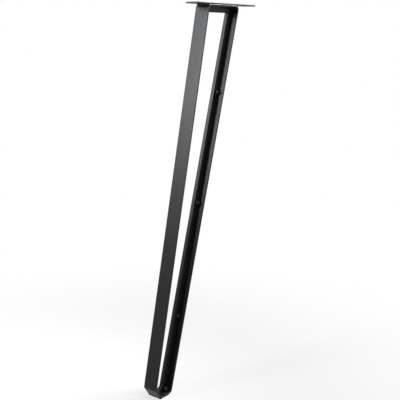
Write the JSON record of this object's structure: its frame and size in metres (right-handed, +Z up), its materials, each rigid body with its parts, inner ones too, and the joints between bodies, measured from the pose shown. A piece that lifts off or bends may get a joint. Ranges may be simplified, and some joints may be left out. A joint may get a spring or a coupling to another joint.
{
  "type": "splayed steel table leg",
  "caption": "Splayed black steel table leg: a tapering loop of bent flat bar with an inner web ring, a narrow screw-on top plate and a small flat foot with a glide.",
  "frame": {"origin": "centre of the plate's top face, which meets the table's underside", "axes": "+Z up out of the plate's top face, X along the plate and in the plane of the loop, Y across the plate; the foot kicks out towards -X"},
  "size_m": [0.2945, 0.03, 0.715],
  "materials": {
    "powder_coat": "satin black powder coat on steel, fine texture",
    "glide": "matt black"
  },
  "bodies": {
    "root": {"top_plate": "powder_coat", "bar_loop": "powder_coat", "web_ring": "powder_coat", "foot_glide": "glide"}
  },
  "joints": []
}
